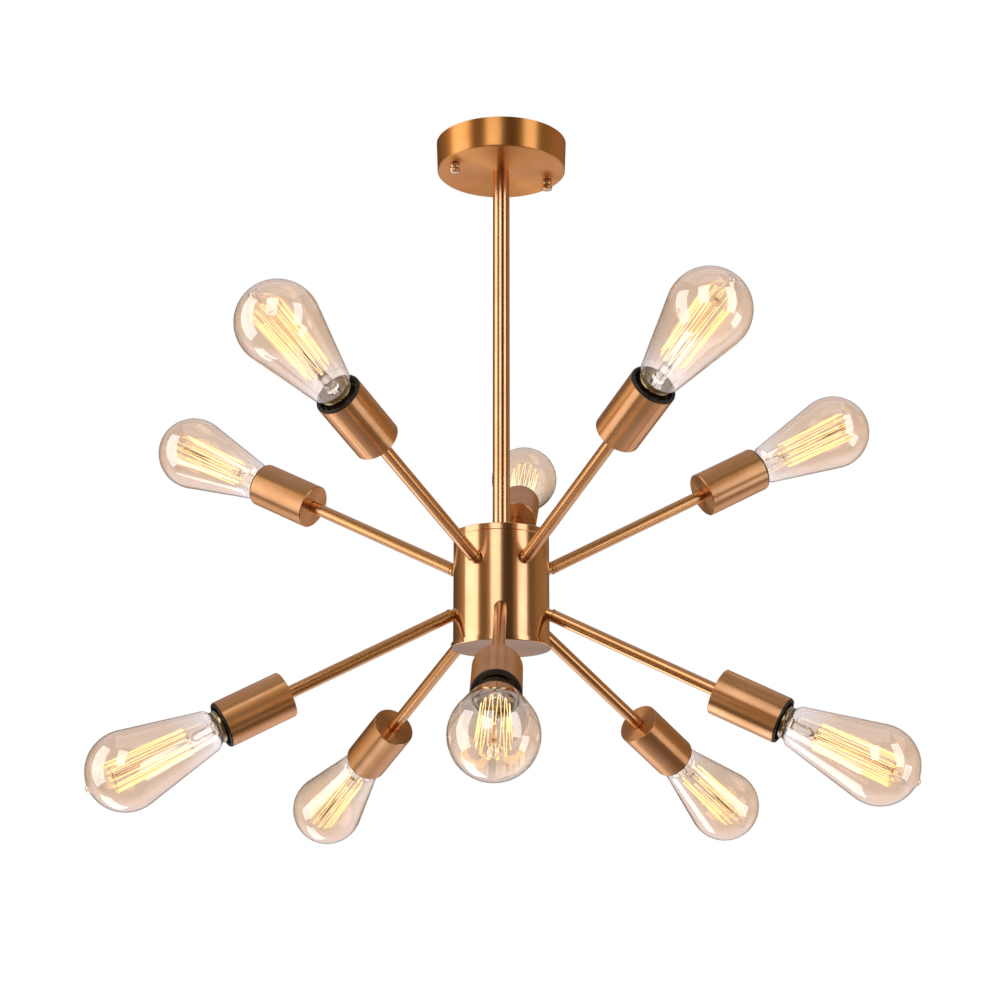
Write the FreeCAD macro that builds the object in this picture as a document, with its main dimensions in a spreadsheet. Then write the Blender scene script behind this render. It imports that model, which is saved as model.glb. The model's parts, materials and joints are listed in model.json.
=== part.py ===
import FreeCAD, Part
import math
import os
import re

import Sketcher

# A ceiling chandelier with two rings of lamps on straight arms round a short drum.
# Millimetres. The origin is on the ceiling, at the middle of the mounting bar's upper face,
# +Z is up and the front of the lamp faces -Y. Everything hangs below the origin.

DIMENSIONS = (
    # ceiling end
    ("canopy_radius", 57.0),
    ("canopy_base_radius", 56.0),
    ("canopy_height", 26.5),
    ("canopy_wall", 1.2),
    ("canopy_edge", 0.8),
    ("bar_length", 104.0),
    ("bar_width", 20.0),
    ("bar_thickness", 2.0),
    ("bar_corner", 4.0),
    ("bar_turn", 24.0),
    ("bar_wire_hole_radius", 5.5),
    ("ceiling_screw_circle", 69.85),
    ("ceiling_screw_hole_radius", 2.6),
    ("stud_circle", 88.9),
    ("stud_radius", 2.0),
    ("stud_length", 32.3),
    ("stud_recess", 0.2),
    ("stud_hole_radius", 2.3),
    ("stud_nut_flats", 7.0),
    ("stud_nut_height", 3.2),
    ("thread_play", 0.05),
    ("cap_nut_radius", 4.2),
    ("cap_nut_waist", 3.4),
    ("cap_nut_end_radius", 4.6),
    ("cap_nut_end_length", 3.0),
    ("cap_nut_end_round", 1.2),
    ("cap_nut_neck_length", 0.9),
    ("cap_nut_height", 9.0),
    ("cap_nut_bore_radius", 2.08),
    ("cap_nut_bore_depth", 6.5),
    # rod and the threaded tubes at its ends
    ("rod_radius", 7.25),
    ("rod_bore_radius", 5.0),
    ("rod_length", 328.0),
    ("nipple_radius", 4.95),
    ("nipple_bore_radius", 3.5),
    ("nipple_grip", 15.0),
    ("nipple_stand", 9.5),
    ("rod_nut_flats", 14.0),
    ("rod_nut_height", 4.0),
    ("washer_radius", 9.0),
    ("washer_thickness", 1.2),
    # drum
    ("hub_radius", 40.0),
    ("hub_height", 98.0),
    ("hub_wall", 1.5),
    ("lid_height", 5.5),
    ("lid_plate", 2.0),
    ("base_cap_radius", 41.6),
    ("base_cap_height", 4.0),
    ("base_cap_plate", 2.0),
    ("spigot_depth", 4.0),
    ("spigot_play", 0.1),
    ("drum_edge", 0.5),
    ("seam_edge", 0.35),
    ("boss_radius", 8.0),
    ("boss_top", 12.0),
    ("boss_floor", 3.0),
    ("wire_window_radius", 3.0),
    ("upper_exit_drop", 29.0),
    ("lower_exit_rise", 27.5),
    # arms
    ("arm_length", 157.0),
    ("arm_radius", 5.2),
    ("arm_neck_radius", 4.2),
    ("arm_bore_radius", 3.2),
    ("arm_inner_reach", 11.0),
    ("arm_outer_reach", 8.0),
    ("arm_neck_length", 6.0),
    ("arm_neck_gap", 1.5),
    ("collar_radius", 5.4),
    ("collar_start", 3.2),
    ("collar_length", 1.8),
    ("arm_nut_flats", 12.0),
    ("arm_nut_height", 4.0),
    ("arm_nut_setback", 10.5),
    ("upper_lift", 27.0),
    ("lower_drop", 27.0),
    ("upper_turn", -4.5),
    ("lower_turn", -2.0),
    # socket cup and lampholder, measured from the cup's back face
    ("cup_radius", 19.0),
    ("cup_wall", 1.4),
    ("cup_floor", 2.0),
    ("cup_length", 56.5),
    ("cup_edge", 0.6),
    ("holder_start", 10.0),
    ("holder_radius", 17.3),
    ("holder_bore_radius", 14.9),
    ("holder_floor", 31.0),
    ("holder_throat", 52.0),
    ("holder_mouth_radius", 16.1),
    ("holder_rim_radius", 18.6),
    ("holder_length", 58.0),
    ("holder_back_edge", 2.0),
    ("holder_rim_edge", 0.4),
    ("holder_wire_radius", 3.3),
    ("shell_radius", 14.6),
    ("shell_bore_radius", 13.5),
    ("shell_end", 53.0),
    ("shell_lip_radius", 8.0),
    ("tongue_width", 6.0),
    ("tongue_reach", 7.0),
    ("tongue_thickness", 0.6),
    ("tongue_gap", 0.3),
    # lamp bulb, measured from the cup's back face
    ("bulb_foot", 34.0),
    ("bulb_cap_radius", 12.4),
    ("bulb_thread_depth", 0.6),
    ("bulb_thread_pitch", 3.63),
    ("bulb_cap_wall", 0.5),
    ("bulb_cap_start", 38.5),
    ("bulb_cap_shoulder", 2.0),
    ("bulb_cap_lip_radius", 6.0),
    ("bulb_cap_neck_start", 56.0),
    ("bulb_cap_rim_start", 57.4),
    ("bulb_cap_rim_radius", 13.35),
    ("bulb_cap_end", 61.0),
    ("eyelet_radius", 4.8),
    ("eyelet_height", 1.0),
    ("glass_wall", 0.9),
    ("glass_start", 57.5),
    ("glass_neck_radius", 12.7),
    ("glass_taper", 12.5),
    ("flare_height", 7.0),
    ("globe_radius", 32.0),
    ("globe_centre", 139.6),
    ("tip_radius", 4.0),
    ("tip_skirt", 2.5),
    ("tip_height", 2.4),
    ("tip_start", 30.0),
    ("cage_start", 87.0),
    ("cage_end", 153.0),
    ("cage_foot_radius", 11.0),
    ("cage_top_radius", 12.8),
    ("filament_radius", 0.35),
    # wires
    ("supply_wire_radius", 1.0),
    ("arm_wire_radius", 0.8),
    ("connector_radius", 6.0),
    ("connector_tip_radius", 3.5),
    ("connector_height", 22.0),
    ("connector_circle", 34.0),
)

LAMPS_PER_RING = 5
RINGS = ("upper", "lower")

# Each arm is screwed in by hand, so it stands off its even place: (swing, lift) in degrees.
ARM_TRIM = {
    "upper": ((0, 5), (-1, 0), (9, -3), (-2, -1), (0, 1)),
    "lower": ((1, -2), (4, 0), (-4, 1), (-2, 1), (0, -1)),
}

HAIRPINS = 9
THREAD_RINGS = 4

# The glass stem's side line: (radius, height above its foot) in millimetres.
STEM_OUTLINE = (
    (0, 0), (11.2, 0), (10.6, 1.5), (5.0, 5.0), (3.4, 9.0), (3.4, 17.0),
    (1.3, 20.0), (1.3, 31.5), (2.3, 32.5), (2.3, 33.8), (1.2, 34.5), (0, 34.5),
)
# One ring of a lamp cap's thread: (height above the ring's start, share of the thread's depth).
THREAD_RING = ((1.5, 0), (2.7, 1), (3.3, 1), (4.5, 0))
UP = FreeCAD.Vector(0, 0, 1)
NO_TURN = FreeCAD.Rotation()

doc = FreeCAD.newDocument("Chandelier")
sheet = doc.addObject("Spreadsheet::Sheet", "Dim")


def fill_sheet():
    for row, (alias, size) in enumerate(DIMENSIONS, start=1):
        sheet.set(f"A{row}", alias)
        sheet.set(f"B{row}", str(size))
        sheet.setAlias(f"B{row}", alias)
    trims = [(ring, k, trim) for ring in RINGS for k, trim in enumerate(ARM_TRIM[ring], start=1)]
    for row, (ring, k, (swing, lift)) in enumerate(trims, start=len(DIMENSIONS) + 1):
        sheet.set(f"A{row}", f"{ring} arm {k}")
        sheet.set(f"B{row}", str(swing))
        sheet.setAlias(f"B{row}", f"{ring}_swing_{k}")
        sheet.set(f"C{row}", str(lift))
        sheet.setAlias(f"C{row}", f"{ring}_lift_{k}")
    doc.recompute()


def formula(text):
    """A formula in the sheet's own words, such as 'hub_radius - hub_wall', with the sheet named."""
    return re.sub(r"[a-z]\w*", lambda word: "Dim." + word.group(0), text)


def size(text):
    """The value of a formula in the sheet's words."""
    return float(sheet.evalExpression(formula(text)))


def at_height(z, x=0.0, y=0.0):
    return FreeCAD.Placement(FreeCAD.Vector(x, y, z), NO_TURN)


def along(frame, distance):
    """A frame moved along its own Z axis."""
    return frame * at_height(distance)


def origin_plane(body, role):
    return next(f for f in body.Origin.OriginFeatures if f.Role == role)


def fix_corner(sketch, corner, axis, text):
    """Ties one corner of an outline to a formula, or to the axis where the formula is 0."""
    if text == "0":
        line = -2 if axis == "DistanceX" else -1
        sketch.addConstraint(Sketcher.Constraint("PointOnObject", corner, 1, line))
        return
    number = sketch.addConstraint(Sketcher.Constraint(axis, -1, 1, corner, 1, size(text)))
    sketch.setExpression(f"Constraints[{number}]", formula(text))


def outline_sketch(body, role, corners):
    """A closed outline of straight sides, each corner given as two formulas."""
    sketch = body.newObject("Sketcher::SketchObject", body.Name + "_outline")
    sketch.AttachmentSupport = [(origin_plane(body, role), "")]
    sketch.MapMode = "FlatFace"
    points = [FreeCAD.Vector(size(across), size(up), 0) for across, up in corners]
    count = len(points)
    for k in range(count):
        sketch.addGeometry(Part.LineSegment(points[k], points[(k + 1) % count]), False)
    for k in range(count):
        sketch.addConstraint(Sketcher.Constraint("Coincident", k, 2, (k + 1) % count, 1))
    for k, (across, up) in enumerate(corners):
        fix_corner(sketch, k, "DistanceX", across)
        fix_corner(sketch, k, "DistanceY", up)
    return sketch


def turned(label, corners, place=None):
    """A turned piece: an outline of (radius, height) corners revolved about Z."""
    body = doc.addObject("PartDesign::Body", label)
    body.Label = label
    sketch = outline_sketch(body, "XZ_Plane", corners)
    turn = body.newObject("PartDesign::Revolution", label + "_turn")
    turn.Profile = sketch
    turn.ReferenceAxis = (sketch, ["V_Axis"])
    turn.Angle = 360.0
    if place is not None:
        body.Placement = place
    return body


def cylinder(label, radius, height, place):
    piece = doc.addObject("Part::Cylinder", label)
    piece.setExpression("Radius", formula(radius))
    piece.setExpression("Height", formula(height))
    piece.Placement = place
    return piece


def drilled(label, blank, drills):
    """A blank with every drill taken out of it."""
    tools = doc.addObject("Part::Compound", label + "_drills")
    tools.Links = drills
    cut = doc.addObject("Part::Cut", label)
    cut.Label = label
    cut.Base = blank
    cut.Tool = tools
    return cut


def hex_nut(label, flats, bore, height):
    """A plain hexagon nut standing on the XY plane."""
    prism = doc.addObject("Part::Prism", label + "_hexagon")
    prism.Polygon = 6
    prism.setExpression("Circumradius", formula(f"{flats} * 0.57735"))
    prism.setExpression("Height", formula(height))
    hole = cylinder(label + "_thread", bore, height, at_height(0))
    return drilled(label, prism, [hole])


def ring_piece(label, outer, bore, height):
    """A plain washer or collar standing on the XY plane."""
    return turned(label, ((bore, "0"), (outer, "0"), (outer, height), (bore, height)))


def copies(label, pairs):
    """One node of separate solids: each pair is a pattern object and where a copy of it goes."""
    doc.recompute()
    node = doc.addObject("Part::Feature", label)
    node.Label = label
    moved = []
    for pattern, place in pairs:
        shape = pattern.Shape.copy()
        shape.Placement = place.multiply(shape.Placement)
        moved.extend(shape.Solids)
    node.Shape = Part.makeCompound(moved)
    return node


def lamp_frames():
    """For each lamp, the frame where its arm leaves the drum: Z points out along the arm."""
    start = {"upper": 90.0, "lower": -90.0}
    exit_height = {
        "upper": HUB_BOTTOM + size("hub_height - upper_exit_drop"),
        "lower": HUB_BOTTOM + size("lower_exit_rise"),
    }
    slope = {"upper": size("upper_lift"), "lower": -size("lower_drop")}
    frames = {}
    for ring in RINGS:
        for k in range(1, LAMPS_PER_RING + 1):
            step = 360.0 / LAMPS_PER_RING * (k - 1)
            bearing = start[ring] + step + size(f"{ring}_turn") + size(f"{ring}_swing_{k}")
            lift = slope[ring] + size(f"{ring}_lift_{k}")
            way = math.radians(bearing)
            foot = FreeCAD.Vector(math.cos(way), math.sin(way), 0) * size("hub_radius")
            foot.z = exit_height[ring]
            turn = FreeCAD.Rotation(UP, bearing) * FreeCAD.Rotation(FreeCAD.Vector(0, 1, 0), 90 - lift)
            frames[f"{ring}_{k}"] = FreeCAD.Placement(foot, turn)
    return frames


# ---------------------------------------------------------------- ceiling end


def bar_point(circle, side, z):
    """A point on the mounting bar's own line, half a circle from the middle."""
    reach = side * size(circle) / 2
    way = math.radians(size("bar_turn"))
    return at_height(z, reach * math.cos(way), reach * math.sin(way))


def make_mounting_bar():
    """A flat steel strap with rounded corners, two screw holes, two stud holes and a wire hole."""
    body = doc.addObject("PartDesign::Body", "bar_blank")
    half_length, half_width = "bar_length / 2", "bar_width / 2"
    corners = (
        (f"0 - {half_length}", f"0 - {half_width}"),
        (half_length, f"0 - {half_width}"),
        (half_length, half_width),
        (f"0 - {half_length}", half_width),
    )
    sketch = outline_sketch(body, "XY_Plane", corners)
    pad = body.newObject("PartDesign::Pad", "bar_pad")
    pad.Profile = sketch
    pad.setExpression("Length", formula("bar_thickness"))
    doc.recompute()
    uprights = [
        f"Edge{k}"
        for k, edge in enumerate(pad.Shape.Edges, start=1)
        if abs(edge.Vertexes[0].Z - edge.Vertexes[-1].Z) > size("bar_thickness") / 2
    ]
    rounding = body.newObject("PartDesign::Fillet", "bar_corners")
    rounding.Base = (pad, uprights)
    rounding.setExpression("Radius", formula("bar_corner"))
    bottom = -size("bar_thickness")
    body.Placement = FreeCAD.Placement(
        FreeCAD.Vector(0, 0, bottom), FreeCAD.Rotation(UP, size("bar_turn"))
    )
    drills = [cylinder("bar_wire_hole", "bar_wire_hole_radius", "bar_thickness", at_height(bottom))]
    for side in (-1, 1):
        screw = bar_point("ceiling_screw_circle", side, bottom)
        stud = bar_point("stud_circle", side, bottom)
        drills.append(cylinder("screw_hole", "ceiling_screw_hole_radius", "bar_thickness", screw))
        drills.append(cylinder("stud_hole", "stud_radius + thread_play", "bar_thickness", stud))
    return drilled("mounting_bar", body, drills)


def make_studs():
    """The two studs that hang from the bar, each locked by a nut under it."""
    stud = cylinder("stud", "stud_radius", "stud_length", at_height(0))
    nut = hex_nut("stud_nut", "stud_nut_flats", "stud_radius + thread_play", "stud_nut_height")
    stud_foot = -size("stud_recess + stud_length")
    nut_foot = -size("bar_thickness + stud_nut_height")
    sides = (-1, 1)
    return [
        copies("mounting_studs", [(stud, bar_point("stud_circle", s, stud_foot)) for s in sides]),
        copies("stud_lock_nuts", [(nut, bar_point("stud_circle", s, nut_foot)) for s in sides]),
    ]


def make_canopy():
    """The round ceiling cover: a shallow cup with a slightly tapered wall, open at the top."""
    corners = (
        ("rod_bore_radius", "0"),
        ("canopy_base_radius - canopy_edge", "0"),
        ("canopy_base_radius", "canopy_edge"),
        ("canopy_radius", "canopy_height"),
        ("canopy_radius - canopy_wall", "canopy_height"),
        ("canopy_base_radius - canopy_wall", "canopy_wall"),
        ("rod_bore_radius", "canopy_wall"),
    )
    blank = turned("canopy_blank", corners, at_height(CANOPY_BOTTOM))
    holes = [
        cylinder("canopy_hole", "stud_hole_radius", "canopy_wall * 2",
                 bar_point("stud_circle", side, CANOPY_BOTTOM - size("canopy_wall") / 2))
        for side in (-1, 1)
    ]
    return drilled("canopy", blank, holes)


def make_cap_nut(label, side):
    """A round nut with a waist and a wider rounded end, blind from above."""
    top = "cap_nut_height"
    corners = (
        ("0", "0"),
        ("cap_nut_end_radius - cap_nut_end_round", "0"),
        ("cap_nut_end_radius", "cap_nut_end_round"),
        ("cap_nut_end_radius", "cap_nut_end_length - cap_nut_end_round / 2"),
        ("cap_nut_end_radius - cap_nut_end_round / 2", "cap_nut_end_length"),
        ("cap_nut_waist", "cap_nut_end_length"),
        ("cap_nut_waist", "cap_nut_end_length + cap_nut_neck_length"),
        ("cap_nut_radius", "cap_nut_end_length + cap_nut_neck_length"),
        ("cap_nut_radius", top),
        ("cap_nut_bore_radius", top),
        ("cap_nut_bore_radius", f"{top} - cap_nut_bore_depth"),
        ("0", f"{top} - cap_nut_bore_depth"),
    )
    place = bar_point("stud_circle", side, CANOPY_BOTTOM - size("cap_nut_height"))
    return turned(label, corners, place)


def tube_outline(outer, bore, length):
    return ((bore, "0"), (outer, "0"), (outer, length), (bore, length))


def make_rod():
    """The hanging rod, and the threaded tube that joins its top to the canopy."""
    rod = turned(
        "downrod",
        tube_outline("rod_radius", "rod_bore_radius", "rod_length"),
        at_height(HUB_TOP),
    )
    nipple = turned(
        "canopy_nipple",
        tube_outline("nipple_radius", "nipple_bore_radius", "nipple_grip + nipple_stand"),
        at_height(CANOPY_BOTTOM - size("nipple_grip")),
    )
    return [rod, nipple]


def make_rod_fasteners():
    """A washer and a nut inside the canopy, and the same pair inside the drum."""
    nut = hex_nut("rod_nut", "rod_nut_flats", "nipple_radius", "rod_nut_height")
    washer = ring_piece("rod_washer", "washer_radius", "rod_bore_radius", "washer_thickness")
    canopy_floor = CANOPY_BOTTOM + size("canopy_wall")
    lid_underside = HUB_TOP - size("lid_plate")
    washer_top = size("washer_thickness")
    nut_drop = size("washer_thickness + rod_nut_height")
    return [
        copies("rod_washers", [(washer, at_height(canopy_floor)),
                               (washer, at_height(lid_underside - washer_top))]),
        copies("rod_lock_nuts", [(nut, at_height(canopy_floor + washer_top)),
                                 (nut, at_height(lid_underside - nut_drop))]),
    ]


# ---------------------------------------------------------------- drum


def make_hub_lid():
    """The lid that the rod stands on. Its spigot drops inside the drum's wall."""
    spigot = "hub_radius - hub_wall - spigot_play"
    seam = "hub_height - lid_height"
    inner = "hub_radius - hub_wall * 2 - spigot_play"
    corners = (
        ("rod_bore_radius", "hub_height - lid_plate"),
        (inner, "hub_height - lid_plate"),
        (inner, f"{seam} - spigot_depth"),
        (spigot, f"{seam} - spigot_depth"),
        (spigot, seam),
        ("hub_radius - seam_edge", seam),
        ("hub_radius", f"{seam} + seam_edge"),
        ("hub_radius", "hub_height - drum_edge"),
        ("hub_radius - drum_edge", "hub_height"),
        ("rod_bore_radius", "hub_height"),
    )
    return turned("hub_lid", corners, at_height(HUB_BOTTOM))


def make_hub_base_cap():
    """The drum's floor, a little wider than its wall, with a threaded boss for the tie tube."""
    spigot = "hub_radius - hub_wall - spigot_play"
    inner = "hub_radius - hub_wall * 2 - spigot_play"
    corners = (
        ("0", "0"),
        ("base_cap_radius - drum_edge", "0"),
        ("base_cap_radius", "drum_edge"),
        ("base_cap_radius", "base_cap_height"),
        (spigot, "base_cap_height"),
        (spigot, "base_cap_height + spigot_depth"),
        (inner, "base_cap_height + spigot_depth"),
        (inner, "base_cap_plate"),
        ("boss_radius", "base_cap_plate"),
        ("boss_radius", "boss_top"),
        ("rod_bore_radius", "boss_top"),
        ("rod_bore_radius", "boss_floor"),
        ("0", "boss_floor"),
    )
    return turned("hub_base_cap", corners, at_height(HUB_BOTTOM))


def make_hub_body(frames):
    """The drum's wall, with one slanted hole for each arm."""
    corners = (
        ("hub_radius - hub_wall", "base_cap_height"),
        ("hub_radius", "base_cap_height"),
        ("hub_radius", "hub_height - lid_height - seam_edge"),
        ("hub_radius - seam_edge", "hub_height - lid_height"),
        ("hub_radius - hub_wall", "hub_height - lid_height"),
    )
    blank = turned("hub_blank", corners, at_height(HUB_BOTTOM))
    holes = [
        cylinder("arm_hole", "arm_neck_radius + spigot_play", "arm_inner_reach * 2",
                 along(frame, -size("arm_inner_reach")))
        for frame in frames.values()
    ]
    return drilled("hub_body", blank, holes)


def make_hub_tie_tube():
    """The threaded tube from the rod down to the base cap, with a cross hole for the wires."""
    foot = HUB_BOTTOM + size("boss_floor")
    outline = tube_outline(
        "nipple_radius", "nipple_bore_radius", "hub_height - boss_floor + nipple_grip"
    )
    blank = turned("tie_tube_blank", outline, at_height(foot))
    sideways = FreeCAD.Rotation(FreeCAD.Vector(0, 1, 0), 90)
    middle = HUB_BOTTOM + size("hub_height / 2")
    place = FreeCAD.Placement(FreeCAD.Vector(-size("washer_radius"), 0, middle), sideways)
    window = cylinder("wire_window", "wire_window_radius", "washer_radius * 2", place)
    return drilled("hub_tie_tube", blank, [window])


# ---------------------------------------------------------------- arms


def make_arm(label, frame):
    """A straight tube, necked down at both ends. The inner neck enters the drum."""
    neck, wide, bore = "arm_neck_radius", "arm_radius", "arm_bore_radius"
    inner_shoulder = "arm_inner_reach + arm_neck_length"
    outer_shoulder = "arm_inner_reach + arm_length - arm_neck_gap"
    end = "arm_inner_reach + arm_length + arm_outer_reach"
    corners = (
        (bore, "0"),
        (neck, "0"),
        (neck, inner_shoulder),
        (wide, inner_shoulder),
        (wide, outer_shoulder),
        (neck, outer_shoulder),
        (neck, end),
        (bore, end),
    )
    return turned(label, corners, along(frame, -size("arm_inner_reach")))


def make_arm_hardware(frames):
    """A ring on each arm's inner neck, and a lock nut at each end of each arm."""
    collar = ring_piece("collar", "collar_radius", "arm_neck_radius", "collar_length")
    nut = hex_nut("arm_nut", "arm_nut_flats", "arm_neck_radius", "arm_nut_height")
    collars = [(collar, along(frame, size("collar_start"))) for frame in frames.values()]
    inner = [(nut, along(frame, -size("arm_nut_setback"))) for frame in frames.values()]
    outer = [(nut, along(frame, size("arm_length + cup_floor"))) for frame in frames.values()]
    return [copies("arm_collars", collars), copies("arm_lock_nuts", inner + outer)]


def make_cup(label, frame):
    """The socket cup: a straight cup with crisp edges, its floor clamped to the arm's end."""
    hole = "arm_neck_radius + spigot_play"
    corners = (
        (hole, "0"),
        ("cup_radius - cup_edge", "0"),
        ("cup_radius", "cup_edge"),
        ("cup_radius", "cup_length"),
        ("cup_radius - cup_wall", "cup_length"),
        ("cup_radius - cup_wall", "cup_floor"),
        (hole, "cup_floor"),
    )
    return turned(label, corners, along(frame, size("arm_length")))


def holder_pattern():
    """The moulded lampholder: a deep round well whose rim laps over the cup's mouth."""
    corners = (
        ("holder_wire_radius", "holder_start"),
        ("holder_radius - holder_back_edge", "holder_start"),
        ("holder_radius", "holder_start + holder_back_edge"),
        ("holder_radius", "cup_length"),
        ("holder_rim_radius", "cup_length"),
        ("holder_rim_radius", "holder_length - holder_rim_edge"),
        ("holder_rim_radius - holder_rim_edge", "holder_length"),
        ("holder_mouth_radius", "holder_length"),
        ("holder_bore_radius", "holder_throat"),
        ("holder_bore_radius", "holder_floor"),
        ("holder_wire_radius", "holder_floor"),
    )
    return turned("holder", corners)


def shell_pattern():
    """The brass shell that a lamp cap screws into, lining the lampholder's well."""
    floor = "holder_floor + spigot_play"
    wall = "shell_radius - shell_bore_radius"
    corners = (
        ("shell_lip_radius", floor),
        ("shell_radius", floor),
        ("shell_radius", "shell_end"),
        ("shell_bore_radius", "shell_end"),
        ("shell_bore_radius", f"{floor} + {wall}"),
        ("shell_lip_radius", f"{floor} + {wall}"),
    )
    return turned("shell", corners)


def tongue_pattern():
    """The centre contact: a flat strip, bent up and over, that ends just under the lamp's foot."""
    body = doc.addObject("PartDesign::Body", "tongue")
    floor = "holder_floor + spigot_play"
    thick = "tongue_thickness"
    top = "bulb_foot - tongue_gap"
    heel = "tongue_reach - tongue_thickness"
    corners = (
        ("0", floor),
        ("tongue_reach", floor),
        ("tongue_reach", top),
        ("0", top),
        ("0", f"{top} - {thick}"),
        (heel, f"{top} - {thick}"),
        (heel, f"{floor} + {thick}"),
        ("0", f"{floor} + {thick}"),
    )
    sketch = outline_sketch(body, "XZ_Plane", corners)
    pad = body.newObject("PartDesign::Pad", "tongue_pad")
    pad.Profile = sketch
    pad.Midplane = True
    pad.setExpression("Length", formula("tongue_width"))
    return body


def make_holders(frames):
    holder, shell, tongue = holder_pattern(), shell_pattern(), tongue_pattern()
    doc.recompute()
    cups = [along(frame, size("arm_length")) for frame in frames.values()]
    contacts = [(pattern, cup) for cup in cups for pattern in (shell, tongue)]
    return [
        copies("lampholders", [(holder, cup) for cup in cups]),
        copies("lampholder_contacts", contacts),
    ]


# ---------------------------------------------------------------- bulbs


def point(radius, height):
    return FreeCAD.Vector(radius, 0, height)


def line(start, end):
    return Part.LineSegment(start, end).toShape()


def revolve(edges):
    """A solid turned about Z from an open line that starts and ends on the axis."""
    wire = Part.Wire(edges + [line(edges[-1].lastVertex().Point, edges[0].firstVertex().Point)])
    return Part.Face(wire).revolve(FreeCAD.Vector(), UP, 360)


def round_edge(centre, radius, start, side, end):
    """An arc about a point on the axis, from start to end past the bearing given as side."""
    middle = point(radius * math.cos(side), centre + radius * math.sin(side))
    return Part.Arc(start, middle, end).toShape()


def globe_line(inset):
    """A pear-shaped bulb's side line: straight neck, flare, cone, round globe and a small tip."""
    globe, centre = size("globe_radius") - inset, size("globe_centre")
    taper = math.radians(size("glass_taper"))
    neck = size("glass_neck_radius") - inset
    start, shoulder = size("glass_start"), size("bulb_cap_end")
    tangent = point(globe * math.cos(taper), centre - globe * math.sin(taper))
    cone_foot = shoulder + size("flare_height")
    foot = point(tangent.x - (tangent.z - cone_foot) * math.tan(taper), cone_foot)
    pull = size("flare_height") / 2
    flare = Part.BezierCurve()
    flare.setPoles([
        point(neck, shoulder),
        point(neck, shoulder + pull),
        point(foot.x - pull * math.tan(taper), foot.z - pull),
        foot,
    ])
    tip = size("tip_radius") - inset
    tip_centre = centre + size("globe_radius + tip_height - tip_radius")
    root = tip + size("tip_skirt")
    tip_foot = point(root, centre + math.sqrt(globe ** 2 - root ** 2))
    tip_start = math.radians(size("tip_start"))
    tip_rim = point(tip * math.cos(tip_start), tip_centre + tip * math.sin(tip_start))
    globe_side, tip_side = math.radians(40), math.radians(60)
    return [
        line(point(neck, start), point(neck, shoulder)),
        flare.toShape(),
        line(foot, tangent),
        round_edge(centre, globe, tangent, globe_side, tip_foot),
        line(tip_foot, tip_rim),
        round_edge(tip_centre, tip, tip_rim, tip_side, point(0, tip_centre + tip)),
    ]


def envelope_solid():
    """The bulb's thin glass, open at the neck, where the screw cap closes it."""
    outer, inner = globe_line(0.0), globe_line(size("glass_wall"))
    tip = line(outer[-1].lastVertex().Point, inner[-1].lastVertex().Point)
    neck = line(inner[0].firstVertex().Point, outer[0].firstVertex().Point)
    wire = Part.Wire(Part.__sortEdges__(outer + [tip] + inner + [neck]))
    return Part.Face(wire).revolve(FreeCAD.Vector(), UP, 360)


def stem_solid():
    """The glass stem inside the neck: a flared foot, a tube, a thin post and its button."""
    foot = size("glass_start")
    points = [point(radius, foot + height) for radius, height in STEM_OUTLINE]
    return revolve([line(a, b) for a, b in zip(points, points[1:])])


def screw_cap_solid():
    """The lamp's thin screw cap with a rounded thread shown as rings."""
    root, depth, pitch = size("bulb_cap_radius"), size("bulb_thread_depth"), size("bulb_thread_pitch")
    start, wall, lip = size("bulb_cap_start"), size("bulb_cap_wall"), size("bulb_cap_lip_radius")
    foot, neck = start - size("bulb_cap_shoulder"), size("bulb_cap_neck_start")
    rim, rim_start, end = size("bulb_cap_rim_radius"), size("bulb_cap_rim_start"), size("bulb_cap_end")
    outer = [point(lip, foot), point(root, start)]
    for ring in range(THREAD_RINGS):
        for height, share in THREAD_RING:
            outer.append(point(root + depth * share, start + ring * pitch + height))
    outer += [point(root, neck), point(rim, rim_start), point(rim, end)]
    inner = [point(rim - wall, end), point(rim - wall, rim_start), point(root - wall, neck),
             point(root - wall, start + wall), point(lip, foot + wall)]
    closed = outer + inner + outer[:1]
    wire = Part.Wire([line(a, b) for a, b in zip(closed, closed[1:])])
    return Part.Face(wire).revolve(FreeCAD.Vector(), UP, 360)


def foot_solids():
    """The insulator under the screw cap, and the round contact in its middle."""
    foot, eyelet, bevel = size("bulb_foot"), size("eyelet_radius"), size("eyelet_height")
    lip, start = size("bulb_cap_lip_radius"), size("bulb_cap_start - bulb_cap_shoulder")
    wall = size("bulb_cap_wall")
    insulator_points = [point(0, foot + bevel), point(eyelet, foot + bevel), point(lip, start - wall),
                        point(lip, start + bevel), point(0, start + bevel)]
    contact_points = [point(0, foot), point(eyelet - bevel, foot), point(eyelet, foot + bevel),
                      point(0, foot + bevel)]
    return [
        revolve([line(a, b) for a, b in zip(points, points[1:])])
        for points in (insulator_points, contact_points)
    ]


def filament_solid():
    """The filament cage: one wire that runs up and down between two rings of supports."""
    low, high = size("cage_start"), size("cage_end")
    foot, top = size("cage_foot_radius"), size("cage_top_radius")
    half_tip = 360.0 / HAIRPINS / 5
    corners = []
    for pin in range(HAIRPINS):
        bearing = 360.0 / HAIRPINS * pin
        for radius, height, sides in ((top, high, (-1, 1)), (foot, low, (-1, 1))):
            middle = bearing if height == high else bearing + 180.0 / HAIRPINS
            for side in sides:
                way = math.radians(middle + side * half_tip)
                corners.append(FreeCAD.Vector(radius * math.cos(way), radius * math.sin(way), height))
    corners = corners[:-2]
    path = Part.Wire([line(a, b) for a, b in zip(corners, corners[1:])])
    heading = corners[1] - corners[0]
    section = Part.Wire([Part.Circle(corners[0], heading, size("filament_radius")).toShape()])
    return path.makePipeShell([section], True, False, 1)


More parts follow.
